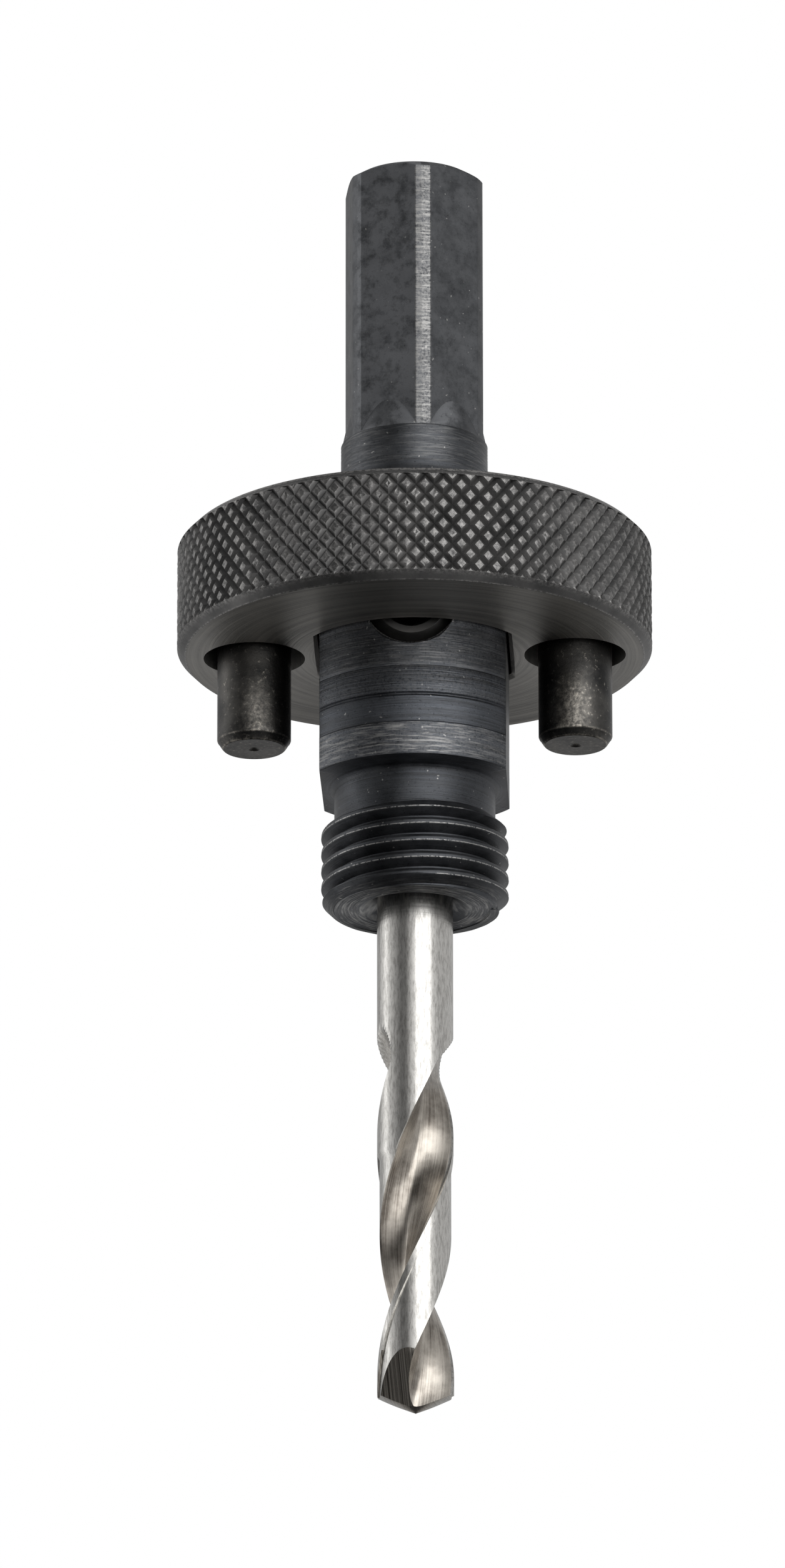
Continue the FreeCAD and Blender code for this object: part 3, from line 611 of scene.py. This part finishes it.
# Rows of the ring from the hole's upper edge out, down the rim and back in, then up the hole.
bore = np.minimum(HOLE_R, HOLE_HALF / np.maximum(np.abs(np.cos(np.radians(deg))), 1e-6))
wide, outer = bore + HOLE_EDGE, (PLATE_R - EDGE) * one
rows = [(wide + (outer - wide) * k, PLATE_HIGH * one) for k in (0.0, 0.25, 0.5, 0.75, 0.99, 1.0)]
rows += [((PLATE_R - EDGE * (1 - k)) * one, (PLATE_HIGH - EDGE * k) * one) for k in (0.2, 0.5, 0.98)]
first_knurl = len(rows)
rows += [(knurl_r[k], knurl_z[k] * one) for k in range(len(knurl_z))]
rows += [((PLATE_R - EDGE * k) * one, (PLATE_LOW + EDGE * (1 - k)) * one) for k in (0.02, 0.5, 0.85, 1.0)]
rows += [(outer + (wide - outer) * k, PLATE_LOW * one) for k in (0.01, 0.15, 0.3, 0.45, 0.6, 0.8, 1.0)]
rows += [(bore, (PLATE_LOW + 0.3) * one), (bore, 16.8 * one), (bore, (PLATE_HIGH - 0.3) * one)]
cut = -np.ones((len(rows), cols))
knurled_rows = slice(first_knurl, first_knurl + len(knurl_z))
cut[knurled_rows] = np.where(from_groove(climb + 0.125) < from_groove(fall), 1.0, -1.0)
plate = round_skin("knurled_drive_plate", np.array([r for r, z in rows]), deg, np.array([z for r, z in rows]),
                   ring=True, split=cut)


def shifted(across):
    """A shift along X, as a matrix."""
    place = np.eye(4)
    place[0, 3] = across
    return place


# Stepped holes of the pins, and the radial hole of the catch at the back.
TO_BACK = np.array([[1, 0, 0, 0], [0, 0, 1, 0], [0, -1, 0, CATCH_Z], [0, 0, 0, 1]], float)
pin_hole = [(PIN_HOLE_R, 23.0), (PIN_HOLE_R, PIN_BORE_TOP), (PIN_BORE_R, PIN_BORE_TOP), (PIN_BORE_R, 10.0)]
catch_hole = [(CATCH_R, 22.0), (CATCH_R, CATCH_SEAT), (BALL_HOLE_R, CATCH_SEAT), (BALL_HOLE_R, 8.0)]
carve(plate, *(turned("pin_hole", pin_hole, shifted(side * PIN_PLACE)) for side in (-1, 1)),
      turned("catch_hole", catch_hole, TO_BACK))

# Black oxide over a rolled knurl: the grooves stay dull and dark, the flattened tips are rubbed to grey
# steel. Faces show the rings of the facing cut, drawn 0.35 mm apart.
knurled, tree, shader = new_material("black_oxide_on_knurled_steel", 1.0, 0.46)
where = put(tree, "TexCoord").outputs["Object"]
tip, faced = (put(tree, "Attribute", attribute_name=name).outputs["Fac"] for name in ("tip", "faced"))
sweep = lathe_way(tree, where, 0.0)
sweep = put(tree, "VectorMath", {0: sweep, 1: (35.0, 35.0, 2900.0)}, operation="MULTIPLY").outputs[0]
rings = put(tree, "TexNoise", {"Vector": sweep, "Scale": 1.0, "Detail": 4.0, "Roughness": 0.7})
mottle = put(tree, "TexNoise", {"Vector": where, "Scale": 330.0, "Detail": 6.0, "Roughness": 0.6})
grit = put(tree, "TexNoise", {"Vector": where, "Scale": 3600.0, "Detail": 4.0, "Roughness": 0.7})
tone = put(tree, "ValToRGB", {"Fac": mottle.outputs["Fac"]},
           stops=[(0.3, linear("#515151")), (0.7, linear("#767574"))])
speck = put(tree, "MapRange", {0: grit.outputs["Fac"], 1: 0.42, 2: 0.66, 3: 0.0, 4: 1.0}).outputs[0]
bare = put(tree, "Math", {0: speck, 1: tip}, operation="MULTIPLY", use_clamp=True).outputs[0]
skin = put(tree, "Mix", {"Factor": bare, "A": tone.outputs["Color"], "B": linear("#a09e9c")},
           data_type="RGBA")
lined = put(tree, "MapRange", {0: rings.outputs["Fac"], 1: 0.35, 2: 0.7, 3: 0.4, 4: 1.0}).outputs[0]
lined = put(tree, "Math", {0: lined, 1: faced}, operation="MULTIPLY").outputs[0]
skin = put(tree, "Mix", {"Factor": lined, "A": skin.outputs["Result"], "B": linear("#a19e99")},
           data_type="RGBA")
tree.links.new(skin.outputs["Result"], shader.inputs["Base Color"])
lathe_gloss(tree, shader, where, 0.6)
raised = put(tree, "Math", {0: grit.outputs["Fac"], 1: 0.4, 2: lined}, operation="MULTIPLY_ADD").outputs[0]
bump = put(tree, "Bump", {"Strength": 0.5, "Distance": 0.00006, "Height": raised})
tree.links.new(bump.outputs["Normal"], shader.inputs["Normal"])

# Rubbed tips of the knurl, worn rims above and below it, and the two turned faces.
x, y, z = coordinates(plate)
r = np.hypot(x, y)
on_knurl = (z > knurl_low - 0.3) & (z < knurl_high + 0.3)
rim = (r > PLATE_R - EDGE - 0.01) & (r < PLATE_R - 0.55) & (z > PLATE_HIGH - 0.2)
low_rim = (np.abs(r - (PLATE_R - EDGE)) < 0.01) & (z < PLATE_LOW + 0.01)
rubbed_tips = np.clip((r - (PLATE_R - 0.1)) / 0.08, 0.0, 1.0) * on_knurl
tell(plate, "tip", rubbed_tips + 3.0 * rim + 1.3 * low_rim)
tell(plate, "faced", (r < PLATE_R - EDGE - 0.02) & ((z < PLATE_LOW + 0.5) | (z > PLATE_HIGH - 0.5)))
dress(plate, knurled, "plate", 18.0)
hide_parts("drive_plate")


# Drive pins
# Two hardened pins, chamfered at the free end and pressed into the plate. They drive the saw's back and are
# rubbed where it bears on them.
PIN_R, PRESSED_R, PIN_END = 3.1, 3.19, 3.8

# Black oxide on hardened steel: a soft sheen over faint mottling, rubbed through in gritty patches.
rubbed, tree, shader = new_material("rubbed_black_oxide_pin", 1.0, 0.38)
where = put(tree, "TexCoord").outputs["Object"]
scuff = put(tree, "Attribute", attribute_name="scuff").outputs["Fac"]
mottle = put(tree, "TexNoise", {"Vector": where, "Scale": 300.0, "Detail": 6.0, "Roughness": 0.6})
grit = put(tree, "TexNoise", {"Vector": where, "Scale": 2600.0, "Detail": 4.0, "Roughness": 0.7})
tone = put(tree, "ValToRGB", {"Fac": mottle.outputs["Fac"]},
           stops=[(0.38, linear("#333333")), (0.7, linear("#5f5d5a"))])
speck = put(tree, "MapRange", {0: grit.outputs["Fac"], 1: 0.6, 2: 0.68, 3: 0.0, 4: 0.4}).outputs[0]
patch = put(tree, "MapRange", {0: grit.outputs["Fac"], 1: 0.4, 2: 0.6, 3: 0.15, 4: 1.0}).outputs[0]
bare = put(tree, "Math", {0: patch, 1: scuff, 2: speck}, operation="MULTIPLY_ADD", use_clamp=True).outputs[0]
skin = put(tree, "Mix", {"Factor": bare, "A": tone.outputs["Color"], "B": linear("#b9b3a9")},
           data_type="RGBA")
tree.links.new(skin.outputs["Result"], shader.inputs["Base Color"])
bump = put(tree, "Bump", {"Strength": 0.35, "Distance": 0.00005, "Height": grit.outputs["Fac"]})
tree.links.new(bump.outputs["Normal"], shader.inputs["Normal"])

# Outline from the pressed end down to the chamfer and the dished free end. The right pin is scuffed more.
pin_profile = [(PRESSED_R, 21.3), (PRESSED_R, PIN_BORE_TOP + 0.01), (PIN_R, PIN_BORE_TOP)]
pin_profile += [(PIN_R, 14.2 - 0.4 * k) for k in range(24)]
pin_profile += [(PIN_R, 4.56), (3.06, 4.45), (2.98, 4.36), (2.72, 3.95), (2.64, 3.86), (2.56, PIN_END),
                (2.4, PIN_END), (1.6, PIN_END + 0.02), (0.5, PIN_END), (0.12, PIN_END + 0.2)]
for side, name, scuffed_at, share in (
        (-1, "drive_pin_left", -86.0, 0.3), (1, "drive_pin_right", -97.0, 0.55)):
    pin = turned("pressed_" + name, pin_profile, shifted(side * PIN_PLACE), 144)
    x, y, z = coordinates(pin)
    x = x - side * PIN_PLACE
    r = np.hypot(x, y)
    away = (np.degrees(np.arctan2(y, x)) - scuffed_at) / 24.0
    patch_share = share * np.exp(-away ** 2) * np.clip((9.6 - z) / 2.5, 0.0, 1.0)
    edge_share = 0.8 * (np.abs(r - 2.64) < 0.02) + 0.5 * (np.abs(r - 3.06) < 0.03) * (z < 4.5)
    tell(pin, "scuff", patch_share * (r > 3.0) + edge_share + 0.12 * (z < 4.1))
    dress(pin, rubbed, "plate")
    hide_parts(name)


# Ball catch
# A steel ball, a coil spring and a small headless screw in a radial hole at the back of the plate. They hold
# the plate where it is set.
CATCH_SCREW_FOOT = 16.58
back_place = TO_BACK.copy()
back_place[:3, 3] += back_place[:3, 2] * CATCH_SCREW_FOOT
catch_screw = socket_screw("catch_screw", radius=2.49, length=3.02, chamfer=0.36, point_r=2.14,
                           point_chamfer=0.36, across_flats=2.5, depth=1.6, place=back_place)
dress(catch_screw, barrel, "plate")
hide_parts("detent_screw")

# Polished hardened bearing steel, mirror bright with a faint haze, and drawn spring wire, duller and greyer.
for node, finish, roughness, scale, dark, light in (
        ("detent_ball", "polished_bearing_steel", 0.12, 1200.0, "#c8c9ca", "#d8d8d6"),
        ("detent_spring", "drawn_spring_wire", 0.3, 2500.0, "#9b9b99", "#b9b8b4")):
    metal, tree, shader = new_material(finish, 1.0, roughness)
    where = put(tree, "TexCoord").outputs["Object"]
    haze = put(tree, "TexNoise", {"Vector": where, "Scale": scale, "Detail": 3.0})
    tone = put(tree, "Mix", {"Factor": haze.outputs["Fac"], "A": linear(dark), "B": linear(light)},
               data_type="RGBA")
    tree.links.new(tone.outputs["Result"], shader.inputs["Base Color"])
    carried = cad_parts[node]
    carried.data.materials.clear()
    carried.data.materials.append(metal)


# Studio
# A pale floor far below, a white surround, a wide soft light from the front right and a narrow one from the
# left. Grey cards round the object, which only metal sees, give its sides their darker bands.
REACH, DEPTH = 9.0, -2.2
mesh = bpy.data.meshes.new("studio_floor")
mesh.from_pydata([(-REACH, -REACH, DEPTH), (REACH, -REACH, DEPTH), (REACH, REACH, DEPTH),
                  (-REACH, REACH, DEPTH)], [], [(0, 1, 2, 3)])
floor = bpy.data.objects.new("studio_floor", mesh)
bpy.context.scene.collection.objects.link(floor)
paint, tree, shader = new_material("pale_matt_floor", 0.0, 0.8)
where = put(tree, "TexCoord").outputs["Object"]
cloud = put(tree, "TexNoise", {"Vector": where, "Scale": 3.0})
tone = put(tree, "Mix", {"Factor": cloud.outputs["Fac"], "A": linear("#f4f4f4"), "B": linear("#fafafa")},
           data_type="RGBA")
tree.links.new(tone.outputs["Result"], shader.inputs["Base Color"])
mesh.materials.append(paint)
floor.visible_glossy = False

world = bpy.data.worlds.new("studio")
bpy.context.scene.world = world
world.use_nodes = True
tree = world.node_tree
tree.nodes.clear()


def card_strengths(value, low, high, steps):
    """Brightness of the surround as a ramp of greys over a value between low and high, from pairs of the
    value and its grey, in rising order."""
    share = put(tree, "MapRange", {0: value, 1: low, 2: high, 3: 0.0, 4: 1.0}).outputs[0]
    stops = [((place - low) / (high - low), (grey, grey, grey, 1.0)) for place, grey in steps]
    return put(tree, "ValToRGB", {"Fac": share}, stops).outputs["Color"]


# Cards as metal sees them: degrees from the front towards the right, and the height of the line of sight.
way = put(tree, "TexCoord").outputs["Generated"]
way = put(tree, "VectorMath", {0: way}, operation="NORMALIZE").outputs[0]
way_x, way_y, way_z = put(tree, "SeparateXYZ", {0: way}).outputs
ahead = put(tree, "Math", {0: way_y, 1: -1.0}, operation="MULTIPLY").outputs[0]
turned_by = put(tree, "Math", {0: way_x, 1: ahead}, operation="ARCTAN2").outputs[0]
turned_by = put(tree, "Math", {0: turned_by, 1: 180.0 / math.pi}, operation="MULTIPLY").outputs[0]
sides = card_strengths(turned_by, -180.0, 180.0, [
    (-180, 0.45), (-136, 0.39), (-118, 0.8), (-99, 1.0), (-83, 0.75), (-63, 0.4), (-44, 0.16), (-24, 0.16),
    (-8, 0.8), (2, 1.0), (48, 1.0), (62, 0.8), (76, 0.57), (132, 0.57), (162, 0.5), (180, 0.45)])
levels = card_strengths(way_z, -1.0, 1.0, [
    (-1.0, 0.1), (-0.75, 0.14), (-0.55, 0.8), (-0.4, 1.0), (0.68, 1.0), (0.82, 0.4), (1.0, 0.3)])
cards = put(tree, "Math", {0: sides, 1: levels}, operation="MULTIPLY").outputs[0]

# White where the camera, metal or glass looks at it, and a little less as a light. Only metal sees the cards.
ray_kind = put(tree, "LightPath").outputs
cards = put(tree, "Mix", {"Factor": ray_kind["Is Glossy Ray"], "A": 1.0, "B": cards}).outputs["Result"]
seen = put(tree, "Math", {0: ray_kind["Is Camera Ray"], 1: ray_kind["Is Transmission Ray"]},
           operation="MAXIMUM").outputs[0]
seen = put(tree, "Math", {0: seen, 1: ray_kind["Is Glossy Ray"]}, operation="MAXIMUM").outputs[0]
power = put(tree, "Mix", {"Factor": seen, "A": 0.95, "B": 1.0}).outputs["Result"]
power = put(tree, "Math", {0: power, 1: cards}, operation="MULTIPLY").outputs[0]
light = put(tree, "Background", {"Color": (1.0, 1.0, 1.0, 1.0), "Strength": power})
put(tree, "OutputWorld", {"Surface": light.outputs[0]})


def from_object(azimuth, elevation):
    """Direction from the object, by degrees from the front towards the right and degrees up."""
    a, e = math.radians(azimuth), math.radians(elevation)
    return Vector((math.sin(a) * math.cos(e), -math.cos(a) * math.cos(e), math.sin(e)))


# Soft lights that face the object: degrees round and up, metres away, width and height, watts.
for name, azimuth, elevation, distance, width, height, watts in (
        ("front_right_softbox", 27.0, 12.0, 0.9, 0.76, 1.1, 3.2),
        ("left_strip_light", -98.0, 12.0, 0.9, 0.26, 1.1, 0.4)):
    lamp = bpy.data.lights.new(name, "AREA")
    lamp.shape, lamp.size, lamp.size_y, lamp.energy = "RECTANGLE", width, height, watts
    made = bpy.data.objects.new(name, lamp)
    made.location = from_object(azimuth, elevation) * distance
    made.rotation_euler = made.location.to_track_quat("Z", "Y").to_euler()
    bpy.context.scene.collection.objects.link(made)

# Camera: long lens, below and just right of the front, with the whole arbor in an upright frame.
CAMERA_AZIMUTH, CAMERA_ELEVATION, CAMERA_DISTANCE, CAMERA_ROLL = 2.0, -18.9, 1100.0, -0.05
FOCAL_PIXELS, FRAME_PIXELS, SENSOR = 20990.0, 2510.0, 36.0
azimuth, roll = math.radians(CAMERA_AZIMUTH), math.radians(CAMERA_ROLL)
away = from_object(CAMERA_AZIMUTH, CAMERA_ELEVATION)
right = Vector((math.cos(azimuth), math.sin(azimuth), 0.0))
up = away.cross(right)
aim = right * -1.87 + Vector((0.0, 0.0, 0.55))
lens = bpy.data.cameras.new("camera")
lens.sensor_fit, lens.sensor_height, lens.sensor_width = "VERTICAL", SENSOR, SENSOR
lens.lens = FOCAL_PIXELS / FRAME_PIXELS * SENSOR
lens.clip_start, lens.clip_end = 0.01, 20.0
camera = bpy.data.objects.new("camera", lens)
x_way = right * math.cos(roll) + up * math.sin(roll)
y_way = up * math.cos(roll) - right * math.sin(roll)
facing = Matrix((x_way, y_way, away)).transposed().to_4x4()
camera.matrix_world = Matrix.Translation((aim + away * CAMERA_DISTANCE) * MM) @ facing
bpy.context.scene.collection.objects.link(camera)
bpy.context.scene.camera = camera

bpy.context.scene.view_settings.view_transform = "Standard"
